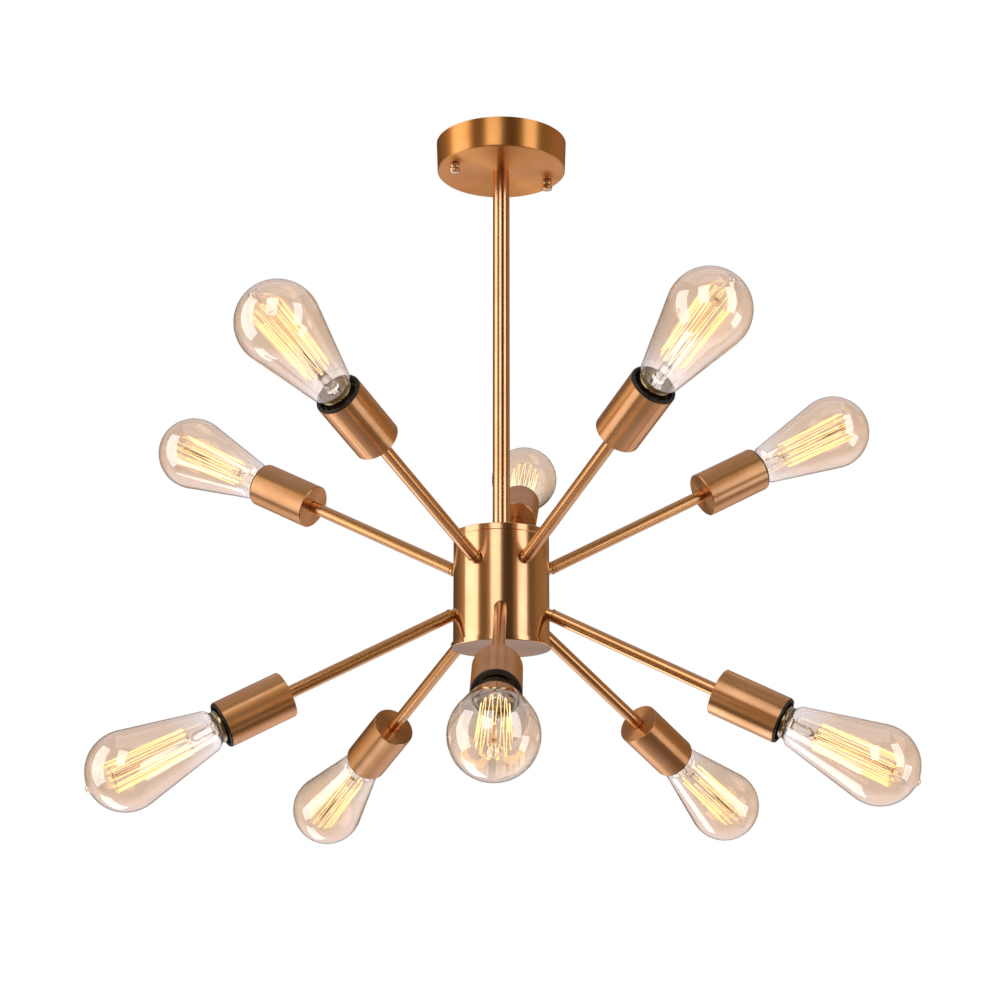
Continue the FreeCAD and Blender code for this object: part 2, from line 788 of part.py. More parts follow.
def solid_group(label, solids, frame):
    """A node made of plain solids, shaped in the cup's frame and then put in place."""
    node = doc.addObject("Part::Feature", label)
    node.Label = label
    node.Shape = Part.makeCompound(solids)
    node.Placement = along(frame, size("arm_length"))
    return node


def make_bulbs(frames):
    glass = [envelope_solid(), stem_solid()]
    base = [screw_cap_solid()] + foot_solids() + [filament_solid()]
    nodes = []
    for lamp, frame in frames.items():
        nodes.append(solid_group(f"bulb_glass_{lamp}", glass, frame))
        nodes.append(solid_group(f"bulb_base_{lamp}", base, frame))
    return nodes


# ---------------------------------------------------------------- wires


def make_wires(frames):
    """Two wires down the rod, and two through each arm into its lampholder."""
    supply_top, supply_foot = -size("bar_thickness + 6"), HUB_BOTTOM + size("hub_height / 2")
    doc.recompute()
    supply = doc.addObject("Part::Cylinder", "supply_wire")
    supply.setExpression("Radius", formula("supply_wire_radius"))
    supply.Height = supply_top - supply_foot
    lead = cylinder(
        "arm_wire",
        "arm_wire_radius",
        "arm_inner_reach + 3 + arm_length + holder_floor - 3",
        at_height(0),
    )
    pairs = [(supply, at_height(supply_foot, side * size("supply_wire_radius + 0.3")))
             for side in (-1, 1)]
    for frame in frames.values():
        for side in (-1, 1):
            start = at_height(-size("arm_inner_reach + 3"), side * size("arm_wire_radius + 0.3"))
            pairs.append((lead, frame * start))
    return copies("lamp_wires", pairs)


def make_connectors():
    """Two twist-on connectors inside the drum, each side of the tie tube."""
    corners = (
        ("0", "0"),
        ("connector_radius", "0"),
        ("connector_radius", "connector_height / 3"),
        ("connector_tip_radius", "connector_height"),
        ("0", "connector_height"),
    )
    pattern = turned("connector", corners)
    middle = HUB_BOTTOM + size("(hub_height - connector_height) / 2")
    reach = size("connector_circle") / 2
    places = [at_height(middle, 0, side * reach) for side in (-1, 1)]
    return copies("wire_connectors", [(pattern, place) for place in places])


# ---------------------------------------------------------------- build and write


def write_parts(nodes):
    """Stops at the first bad object or shape, then writes one STEP file for each node."""
    failed = [o.Name for o in doc.Objects if "Invalid" in o.State or "Error" in o.State]
    if failed:
        raise RuntimeError(f"these objects did not build: {failed}")
    for node in nodes:
        if node.Shape.isNull() or not node.Shape.isValid() or not node.Shape.Solids:
            raise RuntimeError(f"{node.Label} has no valid solid")
    os.makedirs("parts", exist_ok=True)
    for node in nodes:
        node.Shape.exportStep(os.path.join("parts", node.Label + ".step"))
    print(len(nodes), "nodes written")


fill_sheet()
CANOPY_BOTTOM = -size("canopy_height")
HUB_TOP = CANOPY_BOTTOM - size("rod_length")
HUB_BOTTOM = HUB_TOP - size("hub_height")
FRAMES = lamp_frames()

NODES = [make_mounting_bar(), make_canopy()]
NODES += make_studs()
NODES += [make_cap_nut("cap_nut_left", -1), make_cap_nut("cap_nut_right", 1)]
NODES += make_rod()
NODES += make_rod_fasteners()
NODES += [make_hub_lid(), make_hub_base_cap(), make_hub_body(FRAMES), make_hub_tie_tube()]
for lamp_name, lamp_frame in FRAMES.items():
    NODES.append(make_arm(f"arm_tube_{lamp_name}", lamp_frame))
    NODES.append(make_cup(f"socket_cup_{lamp_name}", lamp_frame))
NODES += make_arm_hardware(FRAMES)
NODES += make_holders(FRAMES)
NODES += make_bulbs(FRAMES)
NODES += [make_wires(FRAMES), make_connectors()]
doc.recompute()
write_parts(NODES)
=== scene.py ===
import json
import math

import bpy
from mathutils import Matrix, Vector


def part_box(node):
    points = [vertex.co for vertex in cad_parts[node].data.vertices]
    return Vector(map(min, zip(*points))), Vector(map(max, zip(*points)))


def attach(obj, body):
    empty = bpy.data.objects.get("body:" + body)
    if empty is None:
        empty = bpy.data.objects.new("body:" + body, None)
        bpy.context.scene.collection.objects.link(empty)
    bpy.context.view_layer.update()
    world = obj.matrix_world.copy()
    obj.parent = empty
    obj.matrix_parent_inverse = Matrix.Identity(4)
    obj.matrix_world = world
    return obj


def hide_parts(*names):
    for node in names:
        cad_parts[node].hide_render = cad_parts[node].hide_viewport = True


# A ceiling chandelier with ten bare filament lamps, dressed for rendering.
# Metres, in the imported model's frame: +Z is up and the front faces -Y.
# Each lamp's pieces are shaped in the frame of its socket cup, with Z out along the arm.

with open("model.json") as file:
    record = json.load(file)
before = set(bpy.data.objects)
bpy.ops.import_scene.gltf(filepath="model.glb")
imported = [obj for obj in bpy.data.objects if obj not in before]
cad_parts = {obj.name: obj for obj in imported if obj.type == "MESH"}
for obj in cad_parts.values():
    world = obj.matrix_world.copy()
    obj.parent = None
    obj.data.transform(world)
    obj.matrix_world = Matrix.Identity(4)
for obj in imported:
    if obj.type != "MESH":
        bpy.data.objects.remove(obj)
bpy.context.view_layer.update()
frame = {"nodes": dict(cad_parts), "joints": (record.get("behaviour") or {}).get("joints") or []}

MM = 0.001
TURN = 2 * math.pi
UP = Vector((0, 0, 1))

# The arms leave the hub's side in two rings, at these heights, and end at the socket cups.
HUB_RADIUS = 40.0 * MM
ARM_EXIT_HEIGHT = {"upper": -383.5 * MM, "lower": -425.0 * MM}
ARM_LENGTH = 157.0 * MM


# ---------------------------------------------------------------- lamp frames


def lamp_frames():
    """Where each socket cup's back face is, and which way its lamp points."""
    frames = {}
    for joint in frame["joints"]:
        lamp = joint["child"].removeprefix("bulb_")
        ring = lamp.split("_")[0]
        if ring not in ARM_EXIT_HEIGHT:
            continue
        way = Vector(joint["axis"]).normalized()
        root = Vector((way.x, way.y, 0)).normalized() * HUB_RADIUS
        root.z = ARM_EXIT_HEIGHT[ring]
        turn = way.to_track_quat("Z", "Y").to_matrix().to_4x4()
        frames[lamp] = Matrix.Translation(root + way * ARM_LENGTH) @ turn
    return frames


LAMPS = lamp_frames()


# ---------------------------------------------------------------- material nodes


class Tree:
    """The nodes of a material or a world, made in order; each input gets a socket or a value."""

    def __init__(self, owner):
        owner.use_nodes = True
        self.owner = owner
        self.nodes = owner.node_tree.nodes
        self.links = owner.node_tree.links

    def add(self, kind, inputs=(), **settings):
        made = self.nodes.new("ShaderNode" + kind)
        for name, value in settings.items():
            setattr(made, name, value)
        for key, value in dict(inputs).items():
            self.put(made, key, value)
        return made

    def put(self, made, key, value):
        if isinstance(value, bpy.types.NodeSocket):
            self.links.new(value, made.inputs[key])
        else:
            made.inputs[key].default_value = value

    def math(self, operation, a, b=0.0):
        return self.add("Math", {0: a, 1: b}, operation=operation).outputs[0]

    def vector(self, operation, a, b=None, output=0):
        inputs = {0: a} if b is None else {0: a, 1: b}
        return self.add("VectorMath", inputs, operation=operation).outputs[output]

    def scaled(self, vector, factor):
        return self.add("VectorMath", {0: vector, "Scale": factor}, operation="SCALE").outputs[0]

    def place(self):
        """Each point's place in its own object, in metres."""
        return self.add("TexCoord").outputs["Object"]

    def attribute(self, name):
        return self.add("Attribute", attribute_name=name)

    def noise(self, vector, scale, detail=2.0, roughness=0.5):
        inputs = {"Vector": vector, "Scale": scale, "Detail": detail, "Roughness": roughness}
        return self.add("TexNoise", inputs).outputs["Fac"]

    def spread(self, value, low, high, source=(0.3, 0.7)):
        """The value moved from the source range, which is a noise's usual one, to low and high."""
        inputs = {"Value": value, 1: source[0], 2: source[1], 3: low, 4: high}
        return self.add("MapRange", inputs).outputs[0]

    def mix(self, factor, a, b):
        made = self.add("Mix", data_type="RGBA")
        self.put(made, 0, factor)
        self.put(made, 6, a)
        self.put(made, 7, b)
        return made.outputs[2]

    def bump(self, height, strength, distance):
        inputs = {"Height": height, "Strength": strength, "Distance": distance}
        return self.add("Bump", inputs).outputs[0]

    def finish(self, **inputs):
        for name, value in inputs.items():
            self.put(self.nodes["Principled BSDF"], name.replace("_", " "), value)
        return self.owner


def new_tree(name):
    return Tree(bpy.data.materials.new(name))


def rgb(red, green, blue):
    return (red, green, blue, 1.0)


RING_SCALE = 5200.0
LACQUER_IOR, LACQUER_ROUGHNESS = 2.2, 0.16


def turned_metal(name, centre=(0, 0, 0), axis=(0, 0, 1), light=rgb(0.80, 0.43, 0.17),
                 dark=rgb(0.72, 0.35, 0.12), rough=0.23, brushing=0.7, lines=0.5, lacquer=1.0):
    """Metal brushed in rings about an axis, under a thin lacquer, with faint blotches."""
    tree = new_tree(name)
    place = tree.place()
    offset = tree.vector("SUBTRACT", place, centre)
    along = tree.vector("DOT_PRODUCT", offset, axis, output=1)
    axial = tree.scaled(axis, along)
    radial = tree.vector("SUBTRACT", offset, axial)
    radius = tree.vector("LENGTH", radial, output=1)
    rings = tree.add("CombineXYZ", {0: tree.math("MULTIPLY", along, RING_SCALE),
                                    1: tree.math("MULTIPLY", radius, RING_SCALE)}).outputs[0]
    drift = tree.scaled(place, 40.0)
    brushed = tree.noise(tree.vector("ADD", rings, drift), 1.0, 3.0, 0.5)
    blotches = tree.noise(place, 30.0, 3.0, 0.55)
    colour = tree.mix(tree.spread(blotches, 0.0, 1.0, (0.35, 0.68)), light, dark)
    tone = tree.mix(tree.spread(brushed, 0.0, 0.16 * lines), colour, dark)
    tangent = tree.vector("NORMALIZE", tree.vector("CROSS_PRODUCT", axis, radial))
    world = tree.add("VectorTransform", {0: tangent}, vector_type="VECTOR",
                     convert_from="OBJECT", convert_to="WORLD").outputs[0]
    grain = tree.math("ADD", tree.spread(brushed, -0.03 * lines, 0.03 * lines),
                      tree.spread(blotches, -0.02, 0.03))
    return tree.finish(Base_Color=tone, Metallic=1.0, Roughness=tree.math("ADD", grain, rough),
                       Anisotropic=brushing, Anisotropic_Rotation=0.25, Tangent=world,
                       Normal=tree.bump(brushed, 0.05 * lines, 0.00004),
                       Coat_Weight=lacquer, Coat_IOR=LACQUER_IOR, Coat_Roughness=LACQUER_ROUGHNESS)


def plain_metal(name, light, dark, rough=0.3, scale=400.0):
    """Plated or stamped metal with a fine grain and dull patches."""
    tree = new_tree(name)
    place = tree.place()
    grain = tree.noise(place, scale * 4, 3.0)
    patches = tree.noise(place, scale / 8, 3.0)
    colour = tree.mix(tree.spread(patches, 0.0, 1.0), light, dark)
    rough_map = tree.spread(grain, rough - 0.06, rough + 0.08)
    return tree.finish(Base_Color=colour, Metallic=1.0, Roughness=rough_map,
                       Normal=tree.bump(grain, 0.1, 0.00005))


def moulded(name, light, dark, rough=0.35, shine=0.3):
    """Moulded plastic with a faint pebble and a soft shine."""
    tree = new_tree(name)
    place = tree.place()
    pebble = tree.noise(place, 1500.0, 2.0)
    cloud = tree.noise(place, 60.0, 2.0)
    colour = tree.mix(tree.spread(cloud, 0.0, 1.0), light, dark)
    return tree.finish(Base_Color=colour, Roughness=tree.spread(pebble, rough - 0.05, rough + 0.08),
                       Normal=tree.bump(pebble, 0.15, 0.0001), Coat_Weight=shine, Coat_Roughness=0.15)


GLASS_IOR, LUSTRE_IOR = 1.5, 2.4


def glass(name, clear, tint, fade=(0.060, 0.100), lustre=1.0):
    """Blown glass, lustred on its outer skin, whose tint comes in between the heights of fade."""
    tree = new_tree(name)
    place = tree.attribute("own_place").outputs["Vector"]
    waver = tree.noise(place, 45.0, 1.0)
    height = tree.add("SeparateXYZ", {0: place}).outputs[2]
    share = tree.math("ADD", tree.spread(height, 0.0, 1.0, fade), tree.spread(waver, -0.12, 0.12))
    shade = tree.mix(tree.spread(share, 0.0, 1.0, (0.0, 1.0)), clear, tint)
    outside = tree.math("GREATER_THAN", tree.attribute("outer_skin").outputs["Fac"], 0.5)
    coat = tree.math("MULTIPLY", outside, lustre)
    return tree.finish(Base_Color=shade, Roughness=0.0, IOR=GLASS_IOR, Transmission_Weight=1.0,
                       Normal=tree.bump(waver, 0.05, 0.0006),
                       Coat_Weight=coat, Coat_IOR=LUSTRE_IOR, Coat_Roughness=0.0)


def cement(name):
    """Mottled brass and baked cement inside the lamp's cap."""
    tree = new_tree(name)
    place = tree.place()
    mottle = tree.noise(place, 800.0, 4.0, 0.65)
    share = tree.spread(mottle, 0.0, 1.0, (0.38, 0.62))
    colour = tree.mix(share, rgb(0.42, 0.28, 0.08), rgb(0.07, 0.04, 0.015))
    return tree.finish(Base_Color=colour, Metallic=0.4, Roughness=tree.spread(mottle, 0.35, 0.6),
                       Normal=tree.bump(mottle, 0.5, 0.0005))


def glowing(name, colour, strength):
    """A hot filament, a little cooler in places that a noise picks."""
    tree = new_tree(name)
    flicker = tree.noise(tree.place(), 220.0, 1.0)
    hot = tree.mix(tree.spread(flicker, 0.0, 0.5), colour, rgb(1.0, 0.62, 0.24))
    return tree.finish(Base_Color=hot, Emission_Color=hot, Emission_Strength=strength, Roughness=0.6)


# ---------------------------------------------------------------- mesh helpers


def mesh_object(name, vertices, faces, material, smooth=True):
    mesh = bpy.data.meshes.new(name)
    mesh.from_pydata([tuple(v) for v in vertices], [], faces)
    mesh.validate()
    mesh.materials.append(material)
    mesh.polygons.foreach_set("use_smooth", [smooth] * len(mesh.polygons))
    mesh.update()
    piece = bpy.data.objects.new(name, mesh)
    bpy.context.scene.collection.objects.link(piece)
    return piece


def swept_mesh(outline, steps, change=None):
    """Vertices and faces of an outline of (radius, height) points turned about Z."""
    vertices = []
    for radius, height in outline:
        for step in range(steps):
            angle = TURN * step / steps
            r = radius if change is None else change(radius, height, angle)
            vertices.append((r * math.cos(angle), r * math.sin(angle), height))
    faces = []
    for row in range(len(outline) - 1):
        for step in range(steps):
            after = (step + 1) % steps
            faces.append((row * steps + step, row * steps + after,
                          (row + 1) * steps + after, (row + 1) * steps + step))
    return vertices, faces


WELD_REACH = 0.002 * MM


def turned_piece(name, outline, material, steps=64, change=None, closed=False):
    """A turned piece; a closed outline comes back to its first point."""
    points = list(outline) + ([outline[0]] if closed else [])
    vertices, faces = swept_mesh(points, steps, change)
    piece = mesh_object(name, vertices, faces, material)
    welded = piece.modifiers.new("weld", "WELD")
    welded.merge_threshold = WELD_REACH
    return piece


def arc(centre, radius, start, end, count):
    """Points on an arc about a point on the axis; angles from the horizontal, in degrees."""
    points = []
    for step in range(count + 1):
        angle = math.radians(start + (end - start) * step / count)
        points.append((radius * math.cos(angle), centre + radius * math.sin(angle)))
    return points


def bezier(a, b, c, d, count):
    """Points on the cubic curve from a to d that b and c pull."""
    points = []
    for step in range(count + 1):
        t = step / count
        s = 1 - t
        weights = (s ** 3, 3 * s * s * t, 3 * s * t * t, t ** 3)
        point = [sum(w * p[i] for w, p in zip(weights, (a, b, c, d))) for i in (0, 1)]
        points.append(tuple(point))
    return points


def in_mm(points):
    return [(radius * MM, height * MM) for radius, height in points]


def wire_piece(name, routes, radius, material):
    """Thin round wires along smooth runs of points, as one mesh."""
    curve = bpy.data.curves.new(name, "CURVE")
    curve.dimensions = "3D"
    curve.bevel_depth = radius
    curve.bevel_resolution = 2
    curve.use_fill_caps = True
    for route in routes:
        spline = curve.splines.new("NURBS")
        spline.points.add(len(route) - 1)
        for point, place in zip(spline.points, route):
            point.co = (*place, 1.0)
        spline.order_u = 3
        spline.use_endpoint_u = True
        spline.resolution_u = 6
    holder = bpy.data.objects.new(name + "_path", curve)
    bpy.context.scene.collection.objects.link(holder)
    bpy.context.view_layer.update()
    ready = holder.evaluated_get(bpy.context.evaluated_depsgraph_get())
    mesh = bpy.data.meshes.new_from_object(ready)
    bpy.data.objects.remove(holder)
    mesh.materials.clear()
    mesh.materials.append(material)
    mesh.polygons.foreach_set("use_smooth", [True] * len(mesh.polygons))
    piece = bpy.data.objects.new(name, mesh)
    bpy.context.scene.collection.objects.link(piece)
    return piece


# ---------------------------------------------------------------- materials

BRASS = turned_metal("brushed_brass")
SATIN = turned_metal("satin_brass", light=rgb(0.78, 0.37, 0.11), dark=rgb(0.70, 0.30, 0.07),
                     rough=0.38, brushing=0.85, lines=0.9, lacquer=0.1)
COLLAR = plain_metal("collar_brass", rgb(0.84, 0.52, 0.24), rgb(0.66, 0.38, 0.15), 0.22)
STEEL = plain_metal("zinc_steel", rgb(0.62, 0.62, 0.60), rgb(0.48, 0.48, 0.47))
BAKELITE = moulded("black_bakelite", rgb(0.012, 0.010, 0.012), rgb(0.007, 0.006, 0.007), 0.5, 0.05)
CONTACT = plain_metal("contact_brass", rgb(0.24, 0.17, 0.07), rgb(0.16, 0.11, 0.04), 0.5)
SLEEVE = moulded("wire_insulation", rgb(0.80, 0.78, 0.72), rgb(0.70, 0.68, 0.62), 0.45, 0.1)
CONNECTOR = moulded("connector_plastic", rgb(0.80, 0.33, 0.06), rgb(0.70, 0.27, 0.05))
KNURLED = turned_metal("knurled_brass", light=rgb(0.82, 0.50, 0.22), brushing=0.2, rough=0.24)
GLASS = glass("amber_glass", rgb(0.94, 0.92, 0.95), rgb(0.89, 0.76, 0.66))
STEM_GLASS = glass("stem_glass", rgb(0.98, 0.97, 0.96), rgb(1.0, 0.90, 0.80), (0.085, 0.140), 0.0)
LAMP_CAP = turned_metal("lamp_cap", light=rgb(0.52, 0.40, 0.17), dark=rgb(0.36, 0.26, 0.10),
                        rough=0.22, brushing=0.3)
CEMENT = cement("cap_cement")
INSULATOR = moulded("cap_insulator", rgb(0.015, 0.015, 0.02), rgb(0.01, 0.01, 0.012), 0.15, 0.6)
SOLDER = plain_metal("cap_contact", rgb(0.60, 0.60, 0.58), rgb(0.45, 0.45, 0.44), 0.28)
FILAMENT = glowing("filament", rgb(1.0, 0.80, 0.38), 2.0)
SUPPORT = plain_metal("filament_support", rgb(0.80, 0.62, 0.44), rgb(0.66, 0.48, 0.32), 0.4, 900.0)


def arm_brass(lamp, centre, way):
    """The arms' brass, with no turning lines."""
    return turned_metal("arm_brass_" + lamp, centre, way, light=rgb(0.82, 0.42, 0.15),
                        dark=rgb(0.74, 0.35, 0.11), rough=0.26, brushing=0.5, lines=0.0, lacquer=0.5)


def cup_brass(lamp, centre, way):
    """The socket cups' brass, a little darker and duller than the hub's."""
    return turned_metal("cup_brass_" + lamp, centre, way, light=rgb(0.76, 0.39, 0.16),
                        dark=rgb(0.68, 0.32, 0.11), rough=0.34, brushing=0.8, lines=0.15, lacquer=0.35)


STEEL_NODES = ("mounting_bar", "mounting_studs", "stud_lock_nuts", "rod_washers", "rod_lock_nuts",
               "arm_lock_nuts", "canopy_nipple", "hub_tie_tube")


def dress(node, material):
    """Gives a CAD node its material."""
    piece = frame["nodes"][node]
    piece.data.materials.clear()
    piece.data.materials.append(material)


def dress_frame_nodes():
    for node in ("downrod", "hub_lid", "hub_body", "hub_base_cap"):
        dress(node, BRASS)
    for node in STEEL_NODES:
        dress(node, STEEL)
    dress("canopy", SATIN)
    dress("arm_collars", COLLAR)
    dress("lampholders", BAKELITE)
    dress("lampholder_contacts", CONTACT)
    dress("lamp_wires", SLEEVE)
    dress("wire_connectors", CONNECTOR)
    for lamp, place in LAMPS.items():
        centre = tuple(place.translation)
        way = tuple(place.to_3x3() @ UP)
        dress("arm_tube_" + lamp, arm_brass(lamp, centre, way))
        dress("socket_cup_" + lamp, cup_brass(lamp, centre, way))


# ---------------------------------------------------------------- lamp bulbs

# Radii, heights above the socket cup's back face, and lengths, in mm; angles in degrees.
NECK, NECK_FOOT, SHOULDER = 12.7, 58.0, 61.0
FLARE, TAPER = 7.0, 12.5
GLOBE, GLOBE_CENTRE = 32.0, 139.6
TIP, TIP_SKIRT, TIP_RISE, TIP_START = 4.0, 2.5, 2.4, 30.0
GLASS_WALL = 0.4
GLASS_STEPS = 96
BUTTON_LOW, BUTTON_HIGH = 86.0, 150.0
PINS = 13
CAGE_LOW, CAGE_HIGH = 87.5, 152.5
CAGE_FOOT, CAGE_TOP = 10.8, 12.6
FILAMENT_RADIUS, HOOK_RADIUS = 0.28 * MM, 0.13 * MM
CAP_ROOT, CAP_DEPTH, PITCH = 12.4, 0.6, 3.63
THREAD_LOW, THREAD_HIGH, THREAD_FADE = 39.0, 55.0, 2.0
THREAD_ROWS = 64


def globe_outline(inset):
    """The bulb's side line in mm: neck, flare, cone, globe and tip."""
    globe, neck = GLOBE - inset, NECK - inset
    slope = math.tan(math.radians(TAPER))
    touch = arc(GLOBE_CENTRE, globe, -TAPER, -TAPER, 1)[0]
    foot_height = SHOULDER + FLARE
    foot = (touch[0] - (touch[1] - foot_height) * slope, foot_height)
    pull = FLARE / 2
    foot_pull = (foot[0] - pull * slope, foot_height - pull)
    flare = bezier((neck, SHOULDER), (neck, SHOULDER + pull), foot_pull, foot, 10)
    cone = [tuple(a + (b - a) * step / 8 for a, b in zip(foot, touch)) for step in range(1, 8)]
    tip = TIP - inset
    root = tip + TIP_SKIRT
    root_angle = math.degrees(math.acos(root / globe))
    side = arc(GLOBE_CENTRE, globe, -TAPER, root_angle, 40)
    tip_centre = GLOBE_CENTRE + GLOBE + TIP_RISE - TIP
    crown = arc(tip_centre, tip, TIP_START, 90, 8)
    skirt = [tuple(a + (b - a) * step / 4 for a, b in zip(side[-1], crown[0])) for step in (1, 2, 3)]
    line = [(neck, NECK_FOOT)] + flare + cone + side + skirt + crown[:-1]
    return line + [(0.0, tip_centre + tip)]


def glass_piece(name):
    """The bulb's envelope: an outer skin, which is marked for its lustre, and an inner one."""
    outer = globe_outline(0.0)
    inner = globe_outline(GLASS_WALL)
    piece = turned_piece(name, in_mm(outer + inner[::-1]), GLASS, steps=GLASS_STEPS, closed=True)
    skin = piece.data.attributes.new("outer_skin", "FLOAT", "POINT")
    for index, point in enumerate(skin.data):
        point.value = 1.0 if index // GLASS_STEPS < len(outer) else 0.0
    return piece


def stem_piece(name):
    """The glass stem inside the neck: flare, tube, pinch, post and two buttons."""
    line = [(0.0, 62.6), (5.6, 62.6), (5.8, 63.2), (5.2, 64.4), (4.7, 66.4), (4.3, 69.0), (4.1, 73.0)]
    line += [(4.0, 77.0), (3.7, 80.0), (2.4, 82.0), (1.6, 83.5), (1.5, 84.4)]
    for button in (BUTTON_LOW, BUTTON_HIGH):
        line += [(1.3, button - 1.6), (2.3, button - 1.0), (2.6, button)]
        line += [(2.3, button + 1.0), (1.2, button + 1.7)]
    line += [(0.0, BUTTON_HIGH + 1.9)]
    return turned_piece(name, in_mm(line), STEM_GLASS, steps=32)


def cage_point(radius, height, degrees):
    """A point of the filament's cage, in metres."""
    angle = math.radians(degrees)
    return (radius * math.cos(angle) * MM, radius * math.sin(angle) * MM, height * MM)


def filament_piece(name):
    """One thread that runs up and down the cage, hooked at each support."""
    step = 360.0 / PINS
    route = []
    for pin in range(PINS):
        bearing = step * pin
        top = (CAGE_TOP, CAGE_HIGH, bearing)
        foot = (CAGE_FOOT, CAGE_LOW, bearing + step / 2)
        for radius, height, middle in (top, foot):
            for side in (-1, 1):
                near = cage_point(radius, height, middle + side * step / 8)
                route += [near, near]
    return wire_piece(name, [route[:-4]], FILAMENT_RADIUS, FILAMENT)


def support_piece(name):
    """Hooked wires from the two buttons to the cage, and the leads up from the cap."""
    step = 360.0 / PINS
    routes = []
    for pin in range(PINS):
        high, low = step * pin, step * (pin + 0.5)
        routes.append([(0, 0, BUTTON_HIGH * MM),
                       cage_point(CAGE_TOP * 0.6, BUTTON_HIGH + 0.6, high),
                       cage_point(CAGE_TOP, CAGE_HIGH + 0.7, high),
                       cage_point(CAGE_TOP + 0.8, CAGE_HIGH - 0.2, high)])
        if pin < PINS - 1:
            routes.append([(0, 0, BUTTON_LOW * MM),
                           cage_point(CAGE_FOOT * 0.6, BUTTON_LOW - 0.4, low),
                           cage_point(CAGE_FOOT, CAGE_LOW - 0.7, low)])
    for side in (0.0, 180.0):
        routes.append([cage_point(2.2, 63.0, side),
                       cage_point(2.4, 78.0, side),
                       cage_point(4.0, 83.0, side),
                       cage_point(CAGE_FOOT, CAGE_LOW - 0.4, side - step / 2)])
    return wire_piece(name, routes, HOOK_RADIUS, SUPPORT)


def thread(radius, height, angle):
    """The rolled helical thread of the screw cap, fading out at both ends."""
    z = height / MM
    if radius < (CAP_ROOT - 0.8) * MM or not THREAD_LOW < z < THREAD_HIGH:
        return radius
    fade = min(1.0, (z - THREAD_LOW) / THREAD_FADE, (THREAD_HIGH - z) / THREAD_FADE)
    wave = 0.5 + 0.5 * math.cos(TURN * z / PITCH - angle)
    return radius + CAP_DEPTH * MM * fade * wave


def cap_piece(name):
    """The screw cap, a shell open at its rim, with a row of points for each part of the thread."""
    rise = THREAD_HIGH - THREAD_LOW
    rows = [(CAP_ROOT, THREAD_LOW + rise * step / THREAD_ROWS) for step in range(THREAD_ROWS + 1)]
    outer = [(6.0, 36.5), (9.5, 37.0), (11.6, 37.8), (CAP_ROOT, 38.7)] + rows
    outer += [(12.5, 56.0), (12.9, 56.8), (13.25, 57.6), (13.33, 58.4), (13.33, 60.6)]
    outer += [(13.2, 60.95), (12.9, 61.0)]
    inner = [(12.78, 60.6), (12.75, 58.0), (12.0, 56.0), (11.9, 39.0), (6.0, 37.1)]
    return turned_piece(name, in_mm(outer + inner), LAMP_CAP, steps=72, change=thread, closed=True)


def cement_piece(name):
    """The cement and solder seen through the neck, inside the screw cap's rim."""
    line = [(12.1, 59.0), (12.05, 61.0), (11.4, 61.8), (9.0, 62.1), (5.0, 62.0), (0.0, 62.2)]
    return turned_piece(name, in_mm(line), CEMENT, steps=48)


def insulator_piece(name):
    """The black disc at the cap's end."""
    line = [(0.0, 34.9), (4.9, 35.0), (5.6, 35.6), (6.2, 36.4), (6.2, 37.3), (0.0, 37.4)]
    return turned_piece(name, in_mm(line), INSULATOR, steps=32)


def eyelet_piece(name):
    """The soldered contact in the middle of the cap's end."""
    line = [(0.0, 34.05), (1.8, 34.1), (3.2, 34.3), (4.2, 34.7), (4.6, 35.05), (0.0, 35.2)]
    return turned_piece(name, in_mm(line), SOLDER, steps=24)


# Each piece's name, maker, material slot, and the CAD node that it stands for.
BULB_PIECES = (
    ("glass", glass_piece, "amber_glass", "bulb_glass_"),
    ("stem", stem_piece, "amber_glass", "bulb_glass_"),
    ("filament", filament_piece, "filament", "bulb_base_"),
    ("supports", support_piece, "filament_support", "bulb_base_"),
    ("screw_cap", cap_piece, "lamp_cap", "bulb_base_"),
    ("cement", cement_piece, "lamp_cap", "bulb_base_"),
    ("insulator", insulator_piece, "cap_insulator", "bulb_base_"),
    ("eyelet", eyelet_piece, "cap_contact", "bulb_base_"),
)
# How far each bulb is screwed round, in degrees.
BULB_TURNS = {"upper": (10, 47, 81, 23, 66), "lower": (5, 58, 33, 72, 16)}


def settle(piece, place):
    """Bakes a piece's place into its mesh; each point's own place stays as an attribute."""
    mesh = piece.data
    own = mesh.attributes.new("own_place", "FLOAT_VECTOR", "POINT")
    for point, vertex in zip(own.data, mesh.vertices):
        point.vector = vertex.co
    mesh.transform(place)


def build_bulbs():
    """Each bulb's pieces, made once and copied to every lamp, each turned its own way.

    The copies are made from a pattern that rides on no body and hides no CAD node; the pattern
    is removed at the end.
    """
    for part, make, slot, node in BULB_PIECES:
        pattern = make(f"{part}_pattern")
        for lamp, place in LAMPS.items():
            piece = pattern.copy()
            piece.data = pattern.data.copy()
            piece.name = f"lamp_{part}_{lamp}"
            bpy.context.scene.collection.objects.link(piece)
            ring, number = lamp.split("_")
            turn = math.radians(BULB_TURNS[ring][int(number) - 1])
            settle(piece, place @ Matrix.Rotation(turn, 4, "Z"))
            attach(piece, "bulb_" + lamp)
            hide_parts(node + lamp)
        bpy.data.objects.remove(pattern)


# ---------------------------------------------------------------- finger nuts

KNURLS = 28
KNURL_DEPTH, KNURL_SLANT = 0.14, 3.6
KNURLED_FROM = 3.9
NUT_BORE, BORE_DEPTH = 2.1, 6.4


def knurl(radius, height, angle):
    """Diamond knurling: two crossed sets of slanting grooves on the nut's wide parts."""
    if radius < KNURLED_FROM * MM:
        return radius
    slant = height / MM * KNURL_SLANT
    ridge = max(math.cos(KNURLS * angle + slant), math.cos(KNURLS * angle - slant))
    return radius - KNURL_DEPTH * MM * (0.5 - 0.5 * ridge)


